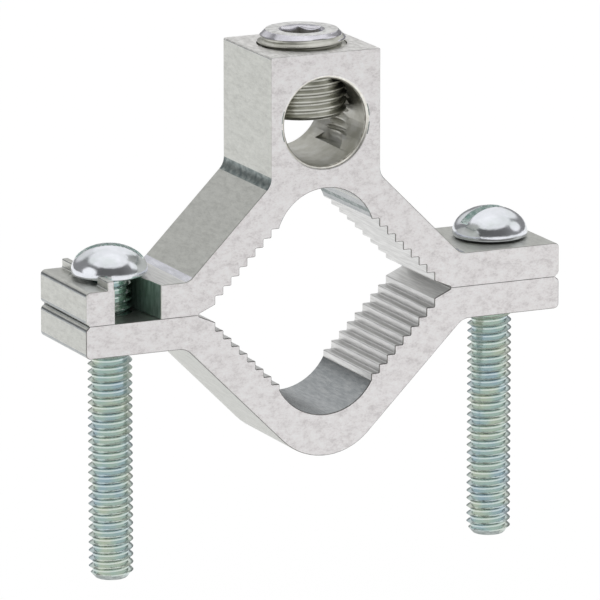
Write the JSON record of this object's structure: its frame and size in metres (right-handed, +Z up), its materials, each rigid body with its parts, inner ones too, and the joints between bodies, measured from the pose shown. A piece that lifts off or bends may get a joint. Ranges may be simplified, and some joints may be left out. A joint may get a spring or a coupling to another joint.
{
  "type": "pipe earthing clamp",
  "caption": "Aluminium pipe earthing clamp: two serrated V jaws drawn together by slotted round-head screws, with a bored lug and socket set screw for the earth wire.",
  "frame": {"origin": "centre of the pipe opening, on the parting plane of the jaws and half way through their width", "axes": "+Y along the pipe, from the side where the ear slot opens to the back; +Z up from the lower jaw to the wire lug; +X from the slotted ear to the plain ear"},
  "size_m": [0.092, 0.02, 0.0957],
  "materials": {
    "aluminium": "mill finish with sawn faces",
    "zinc_plated_steel": "bright zinc plate",
    "tin_plated_aluminium": "tin plate"
  },
  "bodies": {
    "upper_jaw": {"upper_jaw": "aluminium"},
    "lower_jaw": {"lower_jaw": "aluminium"},
    "left_clamp_screw": {"left_clamp_screw": "zinc_plated_steel"},
    "right_clamp_screw": {"right_clamp_screw": "zinc_plated_steel"},
    "set_screw": {"set_screw": "tin_plated_aluminium"}
  },
  "joints": [
    {"name": "left_screw_turn", "type": "hinge", "parent": "upper_jaw", "child": "left_clamp_screw", "pos_m": [-0.03719, 0, 0.00695], "axis": [0, 0, 1], "range_deg": [0, 10200]},
    {"name": "right_screw_turn", "type": "hinge", "parent": "upper_jaw", "child": "right_clamp_screw", "pos_m": [0.03719, 0, 0.00665], "axis": [0, 0, 1], "range_deg": [0, 10200]},
    {"name": "lower_jaw_travel", "type": "slide", "parent": "upper_jaw", "child": "lower_jaw", "axis": [0, 0, -1], "range_m": [0, 0.04]},
    {"name": "set_screw_travel", "type": "slide", "parent": "upper_jaw", "child": "set_screw", "axis": [0, 0, 1], "range_m": [-0.004, 0.0078]}
  ],
  "couplings": [
    {"joint": "right_screw_turn", "follows": "left_screw_turn", "ratio": 1},
    {"joint": "lower_jaw_travel", "follows": "left_screw_turn", "m_per_rad": 0.00022459}
  ]
}
